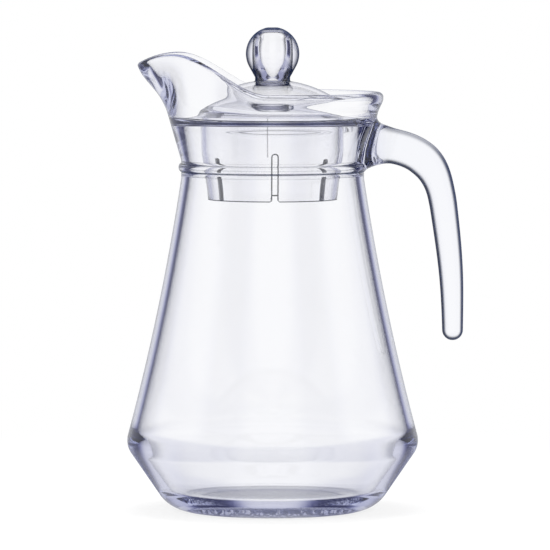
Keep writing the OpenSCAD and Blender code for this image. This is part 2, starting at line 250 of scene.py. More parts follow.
class JugForm:
    """Outlines of the jug in the plane of its axis, as (radius, height) in millimetres."""

    # Shares of lengths: the curves' pulls, the start of the lip's climb and its lean.
    SIDE_UP, SIDE_IN = 0.488, 0.63
    WAIST_ROUND = 0.35
    PUNT = 0.7
    START = 0.04
    WALL_OUT, WALL_UP = (0.2, 0.73), (0.5, 0.64)
    TROUGH_OUT, TROUGH_UP = (-0.15, 0.48), (0.6, 0.725)
    LEAN = 0.4
    # Steps of the curves and straight lines.
    ARC, SIDE, BEZ, LIP, CONE, FLAT, EDGE, LEDGE = 10, 40, 18, 12, 8, 6, 5, 3

    def __init__(self, s):
        self.s = s
        self.heel = at(s.heel_r, 0)
        self.belly = at(s.belly_r, s.belly_h)
        self.waist = at(s.waist_r, s.waist_h)
        self.bend = at(lerp(s.belly_r, s.waist_r, self.SIDE_IN),
                       lerp(s.belly_h, s.waist_h, self.SIDE_UP))
        self.flare_z = s.waist_h + s.flare_up
        self.shoulder = at(s.shoulder_r, s.waist_h + s.shoulder_up)
        self.seat_z = s.waist_h + s.seat_up
        self.rim_z = s.waist_h + s.rim_up
        self.well_r = s.rim_r - s.rim_t
        self.nose_out = s.spout_reach - s.nose_r
        self.side_a = acos((s.rim_r - s.nose_r) / self.nose_out)
        self.nose_a = atan2(s.nose_r * sin(self.side_a),
                            self.nose_out + s.nose_r * cos(self.side_a))

    def side(self, t):
        return bez2(self.belly, self.bend, self.waist, t)

    def side_way(self, t):
        return lerp(self.bend - self.belly, self.waist - self.bend, t).normalized()

    def waist_arc(self, a, b):
        up = at(0, self.s.ring_up)
        return rounded(a, b, b + up, self.s.waist_r * self.WAIST_ROUND, self.ARC // 2)

    def outside(self):
        """From the middle of the hollow under the base up to the flare of the neck."""
        s, n = self.s, self.ARC
        foot = at(s.punt_r, 0)
        punt = [bez2(at(0, s.punt_h), at(s.punt_r * self.PUNT, s.punt_h), foot, i / n)
                for i in range(1, n)]
        side = [self.side(i / self.SIDE) for i in range(1, self.SIDE)]
        side = [p for p in side if p.y > self.belly.y + s.belly_round / 2]
        ring_z = s.waist_h + s.ring_up
        ring = [at(s.waist_r + s.ring_proud * cos(a), ring_z + s.ring_w / 2 * sin(a))
                for a in (-pi / 2 + pi * i / (2 * n) for i in range(2 * n + 1))]
        return (punt + [foot] + rounded(foot, self.heel, self.belly, s.heel_round, n)
                + rounded(self.heel, self.belly, side[0], s.belly_round, n)
                + side + self.waist_arc(side[-1], self.waist) + ring)

    def inside(self):
        """From the flare of the neck down to the middle of the inner floor."""
        s, n = self.s, self.ARC
        low_way, up_way = (self.belly - self.heel).normalized(), self.side_way(0)
        low = self.heel + left(low_way) * s.heel_wall
        belly = meet(low, low_way, self.belly + left(up_way) * s.wall, up_way)
        heel = meet(low, low_way, at(0, s.floor_h), at(1, 0))
        side = [self.side(t) + left(self.side_way(t)) * s.wall
                for t in (i / self.SIDE for i in range(1, self.SIDE))]
        side = [p for p in side if p.y > belly.y + s.inner_round / 2]
        waist = at(s.waist_r - s.wall, s.waist_h)
        floor = line(at(0, s.floor_h), heel - at(s.heel_round, 0), self.FLAT)[1:]
        up = (floor + rounded(at(0, s.floor_h), heel, belly, s.heel_round - s.heel_wall, n)
              + rounded(heel, belly, side[0], s.inner_round, n)
              + side + self.waist_arc(side[-1], waist))
        return up[::-1]

    def lip_r(self, a):
        s, a = self.s, abs(a)
        if a >= self.side_a:
            return s.rim_r
        if a >= self.nose_a:
            return s.rim_r / cos(self.side_a - a)
        return self.nose_out * cos(a) + sqrt(s.nose_r ** 2 - (self.nose_out * sin(a)) ** 2)

    def climb(self, a):
        out = self.lip_r(a) * cos(a)
        return smooth((out / self.s.crest_out - self.START) / (1 - self.START))

    def tip(self, a):
        s = self.s
        return clip((self.lip_r(a) * cos(a) - s.crest_out) / (s.spout_reach - s.crest_out))

    def lip_z(self, a):
        s = self.s
        return self.rim_z + s.spout_rise * self.climb(a) - s.tip_drop * self.tip(a) ** 2

    def lip_w(self, a):
        return lerp(self.s.rim_t, self.s.lip_t, self.climb(a))

    def neck(self, a):
        """Up the outside of the neck, over the lip and down the inside, a from the spout."""
        s, n = self.s, self.BEZ
        w, reach = self.lip_w(a), self.lip_r(a) - s.rim_r
        lean, slit = w * self.LEAN * self.tip(a), s.pour_slit * self.climb(a)
        outer = at(self.lip_r(a), self.lip_z(a) - w / 2 - lean / 2)
        inner = at(self.lip_r(a) - w, self.lip_z(a) - w / 2 + lean / 2)
        seat = at(s.seat_r + slit, self.seat_z)
        well = at(self.well_r, self.seat_z + s.well_round)
        rise, depth, dip = outer.y - self.shoulder.y, inner.y - well.y, inner.x - well.x
        o1 = at(lerp(self.shoulder.x, s.rim_r, 0.5) + reach * self.WALL_OUT[0],
                self.shoulder.y + rise * self.WALL_UP[0])
        o2 = at(outer.x - reach * (1 - self.WALL_OUT[1]),
                self.shoulder.y + rise * self.WALL_UP[1])
        i1 = at(well.x + dip * self.TROUGH_OUT[0], well.y + depth * self.TROUGH_UP[0])
        i2 = at(well.x + dip * self.TROUGH_OUT[1], well.y + depth * self.TROUGH_UP[1])
        mid, half = (outer + inner) / 2, (outer - inner) / 2
        crown = left(half.normalized()) * (w / 2)
        foot_out = at(s.waist_r, self.flare_z)
        foot_in = at(s.waist_r - s.wall, self.flare_z)
        cone = line(foot_out, self.shoulder, self.CONE)
        lip = [mid + half * cos(pi * i / self.LIP) + crown * sin(pi * i / self.LIP)
               for i in range(1, self.LIP)]
        trough = [bez3(inner, i2, i1, well, i / n) for i in range(n)]
        corner = at(self.well_r, self.seat_z)
        bowl = rounded(well + at(0, s.well_round), corner, seat, s.well_round, self.ARC)
        edge = rounded(corner, seat, foot_in, s.edge_round, self.EDGE)
        return (cone + [bez3(self.shoulder, o1, o2, outer, i / n) for i in range(n + 1)]
                + lip + trough + bowl + line(bowl[-1], edge[0], self.LEDGE)[1:]
                + edge + line(edge[-1], foot_in, self.CONE)[1:] + [foot_in])

    def wall_middle(self):
        """Up the middle of the neck's wall, from under the ring to the well above the seat."""
        s, cone_h = self.s, self.shoulder.y - self.flare_z
        well_z = self.seat_z + s.well_round

        def outer(z):
            return lerp(s.waist_r, s.shoulder_r, (z - self.flare_z) / cone_h)

        return [at(s.waist_r - s.wall / 2, s.waist_h - s.ring_up),
                at(s.waist_r - s.wall / 2, self.flare_z),
                at((s.seat_r + outer(self.seat_z)) / 2, self.seat_z),
                at((self.well_r + outer(well_z)) / 2, well_z),
                at(s.rim_r - s.rim_t / 2, self.rim_z - s.rim_t / 2)]

    def section(self, a):
        return self.outside() + self.neck(a) + self.inside()


class HandleForm:
    """Centre line and sections of the handle, in millimetres in the plane of the spout."""

    OUT = (-0.05, 0.658, 0.828, 0.899, 0.987, 0.995, 1.0)
    DROP = (0.0, 0.005, 0.105, 0.348, 0.653, 0.743, 1.0)
    FLARE, BEND, GRIP = 0.12, 0.24, 0.46
    SQUARE = 2.5
    STEP = 1 / 34

    def __init__(self, jug, s):
        self.s = s
        arm_z = jug.waist_h + s.arm_up
        self.points = [at(lerp(jug.waist_r, s.grip_out, x), arm_z - s.grip_drop * z)
                       for x, z in zip(self.OUT, self.DROP)]

    def arm(self, u):
        k, t = (0, 2 * u) if u < 0.5 else (3, 2 * u - 1)
        return bez3(*self.points[k:k + 4], t)

    def way(self, u):
        return (self.arm(min(1, u + self.STEP)) - self.arm(max(0, u - self.STEP))).normalized()

    def ring(self, u, sides, shrink=1.0, ahead=0.0):
        s = self.s
        flare = s.root_flare * (1 - clip(u / self.FLARE)) ** 2
        if u < self.GRIP:
            t = lerp(s.arm_t, s.grip_t, smooth((u - self.BEND) / (self.GRIP - self.BEND)))
        else:
            t = lerp(s.grip_t, s.tip_t, (u - self.GRIP) / (1 - self.GRIP))
        t, d = (t + flare) / 2 * shrink, (lerp(s.arm_w, s.tip_w, u) + flare) / 2 * shrink
        m = self.arm(u) + self.way(u) * ahead
        n = left(self.way(u))
        ring = []
        for i in range(sides):
            c, z = cos(2 * pi * i / sides), sin(2 * pi * i / sides)
            c = abs(c) ** (2 / self.SQUARE) * (1 if c > 0 else -1)
            z = abs(z) ** (2 / self.SQUARE) * (1 if z > 0 else -1)
            p = m + n * (t * c)
            ring.append(Vector((p.x, d * z, p.y)))
        return ring


# ---- meshes


def add(name, data):
    """A new object in the scene."""
    obj = bpy.data.objects.new(name, data)
    bpy.context.scene.collection.objects.link(obj)
    return obj


def new_object(name, bm):
    """A smooth-shaded object at the origin from a closed bmesh in millimetres."""
    bmesh.ops.recalc_face_normals(bm, faces=bm.faces)
    bmesh.ops.scale(bm, vec=(MM, MM, MM), verts=bm.verts)
    for f in bm.faces:
        f.smooth = True
    mesh = bpy.data.meshes.new(name)
    bm.to_mesh(mesh)
    bm.free()
    return add(name, mesh)


def tube(bm, rings):
    """Quads between neighbouring rings and a face at each end."""
    n = len(rings[0])
    for a, b in zip(rings, rings[1:]):
        for i in range(n):
            j = (i + 1) % n
            bm.faces.new((a[i], b[i], b[j], a[j]))
    bm.faces.new(rings[0][::-1])
    bm.faces.new(rings[-1])


def turned(name, outline, steps=192, poles=(None, None)):
    """A solid of revolution from a closed or pole-to-pole outline of (radius, height)."""
    bm = bmesh.new()
    rings = [[bm.verts.new((p.x * cos(2 * pi * j / steps), p.x * sin(2 * pi * j / steps), p.y))
              for j in range(steps)] for p in outline]
    closed = poles == (None, None)
    for a, b in zip(rings, rings[1:] + rings[:1] if closed else rings[1:]):
        for j in range(steps):
            k = (j + 1) % steps
            bm.faces.new((a[j], a[k], b[k], b[j]))
    for z, ring in zip(poles, (rings[0], rings[-1])):
        if z is not None:
            tip = bm.verts.new((0, 0, z))
            for j in range(steps):
                bm.faces.new((ring[j], ring[(j + 1) % steps], tip))
    return new_object(name, bm)


def jug_shell(form, steps=224):
    """The vessel, from its outlines at each angle from the spout."""
    bm = bmesh.new()
    rings = []
    for j in range(steps):
        a = 2 * pi * j / steps
        section = form.section(a if a <= pi else a - 2 * pi)
        rings.append([bm.verts.new((-p.x * cos(a), -p.x * sin(a), p.y)) for p in section])
    n = len(rings[0])
    low, high = bm.verts.new((0, 0, form.s.punt_h)), bm.verts.new((0, 0, form.s.floor_h))
    for a, b in zip(rings, rings[1:] + rings[:1]):
        for i in range(n - 1):
            bm.faces.new((a[i], b[i], b[i + 1], a[i + 1]))
        bm.faces.new((low, b[0], a[0]))
        bm.faces.new((high, a[-1], b[-1]))
    return new_object("jug_shell", bm)


def handle_rod(form, rings=90, sides=48, cap=10):
    """The handle, from inside the neck to its rounded tip."""
    bm = bmesh.new()
    loops = [form.ring(i / rings, sides) for i in range(rings + 1)]
    half = form.s.tip_t / 2
    for i in range(1, cap + 1):
        a = pi / 2 * i / (cap + 0.5)
        loops.append(form.ring(1, sides, cos(a), half * sin(a)))
    loops = [[bm.verts.new(p) for p in loop] for loop in loops]
    tube(bm, loops)
    return new_object("handle_rod", bm)


def make_real(obj):
    """Turns what the object's modifiers make into its plain mesh."""
    deps = bpy.context.evaluated_depsgraph_get()
    mesh = bpy.data.meshes.new_from_object(obj.evaluated_get(deps))
    obj.modifiers.clear()
    old, obj.data = obj.data, mesh
    bpy.data.meshes.remove(old)


def combine(obj, other, operation):
    """Makes two closed solids one in obj; the faces of the second keep their slot."""
    mod = obj.modifiers.new("combine", "BOOLEAN")
    mod.operation, mod.solver, mod.object = operation, "EXACT", other
    make_real(obj)
    mesh = other.data
    bpy.data.objects.remove(other)
    bpy.data.meshes.remove(mesh)


def marked(obj, slot):
    """The object with two empty material slots and all its faces in one of them."""
    for _ in range(2):
        obj.data.materials.append(None)
    for poly in obj.data.polygons:
        poly.material_index = slot
    return obj


def soften_weld(obj, rounds=12, grow=3):
    """Smooths the crease where the second solid was stuck on."""
    bm = bmesh.new()
    bm.from_mesh(obj.data)
    near = {v for e in bm.edges if len({f.material_index for f in e.link_faces}) == 2
            for v in e.verts}
    for _ in range(grow):
        near |= {e.other_vert(v) for v in near for e in v.link_edges}
    for _ in range(rounds):
        bmesh.ops.smooth_vert(bm, verts=list(near), factor=0.5,
                              use_axis_x=True, use_axis_y=True, use_axis_z=True)
    for f in bm.faces:
        f.smooth = True
        f.material_index = 0
    bm.to_mesh(obj.data)
    bm.free()


# ---- node helpers


def joined(operation, swapped=False):
    """A method that joins two values by this operation of the Math node."""
    def method(self, other):
        return self.maths(operation, *((other, self) if swapped else (self, other)))

    return method


class Sock:
    """A shader value that adds its Math nodes when it is used in an expression."""

    def __init__(self, tree, out=None):
        self.tree, self.out = tree, out

    def node(self, kind, settings=(), inputs=()):
        """A new node of this kind, settings first, then the values or links of its sockets."""
        n = self.tree.nodes.new(kind)
        for key, value in dict(settings).items():
            setattr(n, key, value)
        for key, value in dict(inputs).items():
            if isinstance(value, Sock):
                self.tree.links.new(value.out, n.inputs[key])
            else:
                n.inputs[key].default_value = value
        return n

    def get(self, kind, output, settings=(), inputs=()):
        return Sock(self.tree, self.node(kind, settings, inputs).outputs[output])

    def maths(self, operation, *values):
        return self.get("ShaderNodeMath", 0, {"operation": operation}, dict(enumerate(values)))

    __add__ = __radd__ = joined("ADD")
    __mul__ = __rmul__ = joined("MULTIPLY")
    __sub__, __rsub__ = joined("SUBTRACT"), joined("SUBTRACT", swapped=True)
    __truediv__ = joined("DIVIDE")
    __lt__, __gt__ = joined("LESS_THAN"), joined("GREATER_THAN")
    least, most = joined("MINIMUM"), joined("MAXIMUM")

    def __abs__(self):
        return self.maths("ABSOLUTE", self)

    def ramp(self, low, high):
        """0 below low, 1 above high and smooth between them."""
        return self.get("ShaderNodeMapRange", 0, {"interpolation_type": "SMOOTHSTEP"},
                        {0: self, 1: low, 2: high, 3: 0.0, 4: 1.0})

    def ramp_mm(self, low, high):
        """The same for a length in metres, with its limits in millimetres."""
        return self.ramp(low * MM, high * MM)

    def parts(self):
        """The three numbers of a vector."""
        split = self.node("ShaderNodeSeparateXYZ", (), {0: self})
        return [Sock(self.tree, out) for out in split.outputs]


def radius(x, y):
    """Distance from the jug's axis."""
    return x.maths("SQRT", x * x + y * y)


GLASS_IOR, PLASTIC_IOR = 1.52, 1.49
# Heights between which the base's stipple ends, and its soft border, in millimetres.
STIPPLE_TOP, STIPPLE_FADE = (2.2, 3.0), 4
# The Layer Weight over which each outline gets its painted shade, and how dark that shade gets.
HANDLE_OUTLINE, BALL_OUTLINE, OUTLINE_SHARE = (0.1, 0.5), (0.35, 0.75), 0.95
BODY_OUTLINE, BODY_SHARE, LIP_MORE = (0.7, 1.0), 0.42, 0.18
DOME_OUTLINE, DOME_SHARE = (0.75, 0.98), 0.6
# Millimetres under the rim between which the lip begins, and inside the dome's edge between
# which that edge does.
LIP_UNDER, EDGE_IN = (8, 4), (0.7, 0.3)
# Radii and heights in millimetres over which the arm and the grip get the painted shade of
# the handle's outline.
ARM_BEYOND, ARM_ABOVE = (48, 53), (130, 140)
GRIP_BEYOND, GRIP_ABOVE = (58, 62), (68, 72)
# That painted shade is kept to the skin that faces sideways, and is paler on the arm's upper
# side.
FLANK, ARM_TOP, ARM_TOP_PALER = (0.05, 0.35), (0.3, 0.9), 0.45
# Painted shade in the ring's creases: place as a share of its width, width in millimetres and
# darkness, and how far from the waist's radius they reach.
CREASES = ((-0.45, 0.6, 0.75), (0.45, 0.45, 0.3))
CREASE_IN, CREASE_OUT = 1, 3
# The dark middle of a line of painted shade, and how dark the painted shade on cut edges, the
# skirt's upper edge and the seam is.
LINE_CORE, CUT_SHARE, UPPER_SHARE, SEAM_SHARE = 0.4, 0.85, 0.5, 0.4
# The upper edge's rise, as a share of a cut edge, and the seam's fade in millimetres.
UPPER_RISE, SEAM_FADE = 0.6, (0.1, 0.3)


def new_material(name):
    mat = bpy.data.materials.new(name)
    mat.use_nodes = True
    mat.node_tree.nodes.clear()
    return mat, Sock(mat.node_tree)


def clear_material(name, tint, depth, ior, share, painted_shade, stipple=None):
    """Clear glass or plastic with a faint tint and an uneven skin.

    A skin seen edge-on takes the share of the edge colour, as painted shade. The painted_shade
    function says where outlines, the ring's creases and cut edges get painted shade, from the
    Layer Weight and the place. The base is stippled out to this radius in millimetres.
    """
    looks = bpy.context.scene.pitcher_looks
    mat, kit = new_material(name)
    place = kit.get("ShaderNodeTexCoord", "Object")
    x, y, z = place.parts()
    slow = kit.get("ShaderNodeTexNoise", 0, {"noise_dimensions": "3D"},
                   {"Vector": place, "Scale": looks.wave_scale, "Detail": 1.0, "Roughness": 0.4})
    height, rough = slow * looks.wave, slow * looks.wave_rough
    if stipple:
        border = radius(x, y).ramp_mm(stipple - STIPPLE_FADE, stipple)
        under = (1 - z.ramp_mm(*STIPPLE_TOP)) * (1 - border)
        grain = kit.get("ShaderNodeTexVoronoi", 0, {"feature": "F1"},
                        {"Vector": place, "Scale": looks.grain_scale})
        height, rough = height + grain * under * looks.grain, rough + under * looks.grain_rough
    facing = kit.get("ShaderNodeLayerWeight", "Facing", (), {"Blend": 0.5})
    # Painted shade: the base colour turns towards the edge colour where the skin is seen edge-on.
    thin = facing.ramp(looks.edge_shade_from, looks.edge_shade_from + looks.edge_shade_wide) * share
    bump = kit.get("ShaderNodeBump", 0, (), {"Strength": 1.0, "Distance": MM, "Height": height})
    colour = kit.get("ShaderNodeMix", 2, {"data_type": "RGBA"},
                     {0: thin, 6: (1.0, 1.0, 1.0, 1.0), 7: (*looks.edge, 1.0)})
    clear = kit.get("ShaderNodeBsdfPrincipled", 0, (), {
        "Base Color": colour, "Transmission Weight": 1.0, "IOR": ior,
        "Roughness": rough, "Normal": bump})
    # Painted shade: a dark skin without gloss, mixed in where painted_shade gives outlines,
    # creases and cut edges.
    dark = kit.get("ShaderNodeBsdfPrincipled", 0, (), {
        "Base Color": (*looks.edge, 1.0), "Roughness": 0.5, "Specular IOR Level": 0.0})
    top = kit.get("ShaderNodeMixShader", 0, (), {0: painted_shade(facing, x, y, z), 1: clear, 2: dark})
    inner = kit.get("ShaderNodeVolumeAbsorption", 0, (),
                    {"Color": (*tint, 1.0), "Density": depth})
    kit.node("ShaderNodeOutputMaterial", (), {"Surface": top, "Volume": inner})
    return mat


def shade_line(value, middle, width):
    """A soft narrow line of painted shade where the value is near this middle, in millimetres."""
    return 1 - abs(value - middle * MM).ramp_mm(width * LINE_CORE, width)


def glass_painted_shade(jug):
    """Painted shade on the outlines, where glass seen edge-on goes dark, and in the ring's
    creases.
    """
    ring = jug.waist_h + jug.ring_up
    rim = jug.waist_h + jug.rim_up

    def painted_shade(facing, x, y, z):
        _, ahead, up = facing.get("ShaderNodeTexCoord", "Normal").parts()
        # Painted shade along the handle's outline, on its sideways skin and paler on the arm's
        # upper side.
        flank = (1 - abs(ahead)).ramp(*FLANK) * (1 - up.ramp(*ARM_TOP) * ARM_TOP_PALER)
        grip = x.ramp_mm(*GRIP_BEYOND) * z.ramp_mm(*GRIP_ABOVE)
        arm = x.ramp_mm(*ARM_BEYOND) * z.ramp_mm(*ARM_ABOVE)
        handle = (grip + arm).least(1.0) * facing.ramp(*HANDLE_OUTLINE) * flank * OUTLINE_SHARE
        out = radius(x, y)
        # Painted shade in the ring's creases.
        crease = sum(shade_line(z, ring + jug.ring_w * share, width) * dark
                     for share, width, dark in CREASES)
        crease = (crease * (out > (jug.waist_r - CREASE_IN) * MM)
                  * (out < (jug.waist_r + CREASE_OUT) * MM))
        # Painted shade on the body's outline, darker towards the lip.
        lip = z.ramp_mm(*(rim - under for under in LIP_UNDER)) * LIP_MORE
        return handle.most(crease).most(facing.ramp(*BODY_OUTLINE) * (lip + BODY_SHARE))

    return painted_shade


def ball_painted_shade(facing, x, y, z):
    """Painted shade on the knob's outline."""
    return facing.ramp(*BALL_OUTLINE) * OUTLINE_SHARE


def dome_painted_shade(form):
    """Painted shade on the dome's faint outline and its upright edge."""
    def painted_shade(facing, x, y, z):
        edge = radius(x, y).ramp_mm(*(form.s.lid_r - inside for inside in EDGE_IN)) * CUT_SHARE
        return (facing.ramp(*DOME_OUTLINE) * DOME_SHARE).most(edge)

    return painted_shade


def skirt_painted_shade(form):
    """Painted shade on the narrow edges of the skirt's slots and ends, its upper edge and the
    mould's seam.
    """
    s, cut = form.s, form.CUT_EDGE
    half, step = s.slot_w / 2, pi / s.slots
    crown = (form.low_z + s.slot_h - half) * MM
    top = form.land_z - s.joint_gap

    def painted_shade(facing, x, y, z):
        turn = facing.maths("ARCTAN2", y, x) - (s.slot_turn - pi / 2)
        out = radius(x, y)
        across = facing.maths("WRAP", turn, step, -step) * out
        over = (z - crown).most(0.0)
        slot = 1 - (radius(across, over) - half * MM).ramp_mm(cut / 2, cut)
        end = 1 - (z - form.low_z * MM).ramp_mm(cut / 2, cut)
        upper = (z - (top - cut) * MM).ramp_mm(0.0, cut * UPPER_RISE) * UPPER_SHARE
        seam = (1 - (abs(turn + form.SEAM) * out).ramp_mm(*SEAM_FADE)) * (z > crown) * SEAM_SHARE
        return slot.most(end).most(upper).most(seam) * CUT_SHARE

    return painted_shade


def dress(obj, mat, body, *nodes):
    """Gives a finished piece its material and its body, and hides the nodes it replaces."""
    obj.data.materials.clear()
    obj.data.materials.append(mat)
    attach(obj, body)
    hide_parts(*nodes)


def jug_glass():
    looks, jug = bpy.context.scene.pitcher_looks, bpy.context.scene.pitcher_jug
    return clear_material("pressed_glass", looks.tint, looks.depth, GLASS_IOR, looks.edge_shade_share,
                          glass_painted_shade(jug), jug.punt_r)


def lid_plastic(name, painted_shade):
    looks = bpy.context.scene.pitcher_looks
    return clear_material(name, looks.lid_tint, looks.lid_depth, PLASTIC_IOR,
                          looks.lid_edge_shade_share, painted_shade)


# ---- the jug


class PITCHER_OT_jug(bpy.types.Operator):
    """Makes the glass jug with its spout, and sticks the hot handle to it"""

    bl_idname = "pitcher.jug"
    bl_label = "Glass jug and handle"
    CORE_STEPS = 96

    def execute(self, context):
        form = JugForm(context.scene.pitcher_jug)
        shell = marked(jug_shell(form), 0)
        rod = marked(handle_rod(HandleForm(form.s, context.scene.pitcher_handle)), 1)
        middle = form.wall_middle()
        core = turned("neck_core", middle, self.CORE_STEPS, (middle[0].y, middle[-1].y))
        combine(rod, marked(core, 1), "DIFFERENCE")
        combine(shell, rod, "UNION")
        soften_weld(shell)
        shell.name = "glass_jug"
        dress(shell, jug_glass(), "jug", "jug_body", "handle")
        return {"FINISHED"}


# ---- the lid


class LidForm:
    """Outlines of the lid's pieces, as (radius, height) in millimetres."""

    # Millimetres, with how far a slot's cutter reaches beyond the skirt's end and its wall.
    LAND_DROP, RIB_H, RIB_T, FIT, FOOT = 0.4, 2.4, 1.2, 0.1, 0.6
    BRIM, BRIM_IN, BRIM_ROUND, CHAMFER, CLEAR = 1.0, 0.2, 0.35, 0.15, 0.04
    SKIRT_ROUND, CUT_EDGE, CUT_OVER, CUT_PAST = 0.3, 0.6, 1.0, 2
    # Shares of the edge's height, the ball's and the hollow's radius, the slot's width, FOOT.
    BRIM_UP, CROWN, HOLLOW_ROUND, SLOT_ROUND, FOOT_ROUND = 0.8, 0.2, 0.6, 0.6, 0.9
    TAPER, SEAM = radians(29), radians(6)
    ARC, BALL, SLOT, FINE, SMALL, FOOT_ARC, BRIM_ARC = 24, 40, 16, 12, 8, 6, 5

    def __init__(self, s):
        self.s = s
        self.edge_r = s.lid_r - s.edge_t
        self.dome_z = s.lid_z + s.edge_t - sqrt(s.dome_r ** 2 - self.edge_r ** 2)
        self.inner_r = s.dome_r - s.dome_t
        self.land_z = self.under(s.skirt_r) - self.LAND_DROP
        self.low_z = self.land_z - s.skirt_h
        self.knob_land = self.over(s.collar_r + self.FOOT)
        self.knob_z = self.dome_z + s.dome_r + s.knob_up
        self.spigot_r = (s.collar_r + s.hollow_r) / 2

    def over(self, r):
        return self.dome_z + sqrt(self.s.dome_r ** 2 - r ** 2)

    def under(self, r):
        return self.dome_z + sqrt(self.inner_r ** 2 - r ** 2)

    def arc(self, r, from_r, to_r):
        a, b = acos(from_r / r), acos(to_r / r)
        turns = [lerp(a, b, i / self.ARC) for i in range(self.ARC + 1)]
        return [at(r * cos(t), self.dome_z + r * sin(t)) for t in turns]

    def dome(self):
        s = self.s
        rib_r = s.skirt_r - s.skirt_t - self.FIT
        brim_r = sqrt(self.inner_r ** 2 - (s.lid_z - self.dome_z) ** 2)
        rib_low = self.land_z - self.RIB_H
        top, brim = s.collar_r + self.FOOT, self.edge_r - self.BRIM
        edge = rounded(at(brim, self.over(brim)),
                       at(s.lid_r - self.BRIM_IN, s.lid_z + s.edge_t * self.BRIM_UP),
                       at(s.lid_r, s.lid_z), self.BRIM_ROUND, self.BRIM_ARC)
        return ([at(self.spigot_r, self.under(self.spigot_r)),
                 at(self.spigot_r, self.knob_land), at(top, self.knob_land)]
                + self.arc(s.dome_r, top + self.CLEAR, brim) + edge
                + [at(s.lid_r, s.lid_z + self.CHAMFER), at(s.lid_r - self.CHAMFER, s.lid_z)]
                + self.arc(self.inner_r, brim_r, s.skirt_r)
                + [at(s.skirt_r, self.land_z), at(rib_r, self.land_z), at(rib_r, rib_low),
                   at(rib_r - self.RIB_T, rib_low)]
                + self.arc(self.inner_r, rib_r - self.RIB_T, self.spigot_r)[:-1])

    def knob(self):
        """From the top of the ball down its outside and up its hollow."""
        s = self.s
        crown_a = acos(self.CROWN)
        ball = [at(s.knob_r * cos(t), self.knob_z + s.knob_r * sin(t))
                for t in (lerp(crown_a, -self.TAPER, i / self.BALL)
                          for i in range(self.BALL + 1))]
        taper = at(cos(self.TAPER), -sin(self.TAPER))
        throat = meet(at(0, self.knob_z) + taper * s.knob_r, left(taper), at(s.collar_r, 0),
                      at(0, 1))
        foot = self.knob_land + s.joint_gap
        top = self.knob_z + s.knob_r - s.crown_t
        collar = at(s.collar_r, foot)
        flare = rounded(throat, collar, collar + at(1, 0), self.FOOT * self.FOOT_ROUND,
                        self.FOOT_ARC)
        hollow = rounded(at(0, top), at(s.hollow_r, top), at(s.hollow_r, foot),
                         s.hollow_r * self.HOLLOW_ROUND, self.FINE)
        spigot = self.spigot_r - s.joint_gap
        low = self.under(self.spigot_r)
        return (ball + [throat] + flare
                + [at(spigot, foot), at(spigot, low), at(s.hollow_r, low)] + hollow[::-1])

    def skirt(self):
        s, r = self.s, self.SKIRT_ROUND
        top, bend = self.land_z - s.joint_gap, self.land_z - s.skirt_upright
        mid, crest, back = (top + bend) / 2, s.skirt_r - s.skirt_t / 2, s.skirt_r - s.skirt_t
        outer = with_roundings([at(crest, top), at(s.skirt_r, top), at(s.skirt_r, mid)], r)
        low = with_roundings([at(s.skirt_r, bend), at(s.skirt_low_r, self.low_z),
                              at(s.skirt_low_r - s.skirt_t, self.low_z), at(back, bend)], r)
        inner = with_roundings([at(back, mid), at(back, top), at(crest, top)], r)[:-1]
        return outer + line(low[0], low[1], self.SMALL) + low[1:] + inner

    def slot(self):
        """Outline of one slot as (across, up), open at its lower end."""
        s = self.s
        half, over = s.slot_w / 2, self.CUT_OVER
        r = s.slot_w * self.SLOT_ROUND
        top = [at(half * cos(t), s.slot_h - half + half * sin(t))
               for t in (pi - pi * i / self.SLOT for i in range(self.SLOT + 1))]
        corner = [at(half + r * (1 - cos(t)), r * (1 - sin(t)))
                  for t in (pi / 2 * i / self.SMALL for i in range(self.SMALL + 1))]
        ends = [at(half + r, -over), at(-half - r, -over)]
        return top + corner + ends + [at(-p.x, p.y) for p in corner[::-1]]


def slot_cutter(form):
    """A bar with the slot's outline that runs outwards along X through the skirt."""
    s = form.s
    near, far = s.skirt_low_r - s.skirt_t - form.CUT_PAST, s.skirt_r + form.CUT_PAST
    bm = bmesh.new()
    ends = [[bm.verts.new((x, p.x, form.low_z + p.y)) for p in form.slot()]
            for x in (near, far)]
    tube(bm, ends)
    return new_object("slot_cutter", bm)


def slotting_tree(mat):
    """Cuts copies of a cutter, spread round the axis, out of a ring."""
    tree = bpy.data.node_groups.new("Cut slots round a ring", "GeometryNodeTree")
    face = tree.interface
    for name, kind in {"Ring": "Geometry", "Cutter": "Object", "Slots": "Int",
                       "Turn": "Float"}.items():
        face.new_socket(name, in_out="INPUT", socket_type="NodeSocket" + kind)
    face.new_socket("Skirt", in_out="OUTPUT", socket_type="NodeSocketGeometry")
    kit = Sock(tree)
    given = tree.nodes.new("NodeGroupInput")
    ring, cutter, slots, turn = (Sock(tree, out) for out in list(given.outputs)[:4])
    bar = kit.get("GeometryNodeObjectInfo", "Geometry", {"transform_space": "ORIGINAL"},
                  {"Object": cutter})
    spots = kit.get("GeometryNodePoints", 0, (), {"Count": slots})
    each = kit.get("GeometryNodeInputIndex", 0)
    angle = each * (2 * pi) / slots + turn
    spin = kit.get("ShaderNodeCombineXYZ", 0, (), {2: angle})
    bars = kit.get("GeometryNodeInstanceOnPoints", 0, (),
                   {"Points": spots, "Instance": bar, "Rotation": spin})
    bars = kit.get("GeometryNodeRealizeInstances", 0, (), {0: bars})
    cut = kit.get("GeometryNodeMeshBoolean", 0, {"operation": "DIFFERENCE", "solver": "EXACT"},
                  {"Mesh 1": ring, "Mesh 2": bars})
    real = kit.get("GeometryNodeRealizeInstances", 0, (), {0: cut})
    shown = kit.get("GeometryNodeSetMaterial", 0, (), {"Geometry": real, "Material": mat})
    kit.node("NodeGroupOutput", (), {0: shown})
    return tree


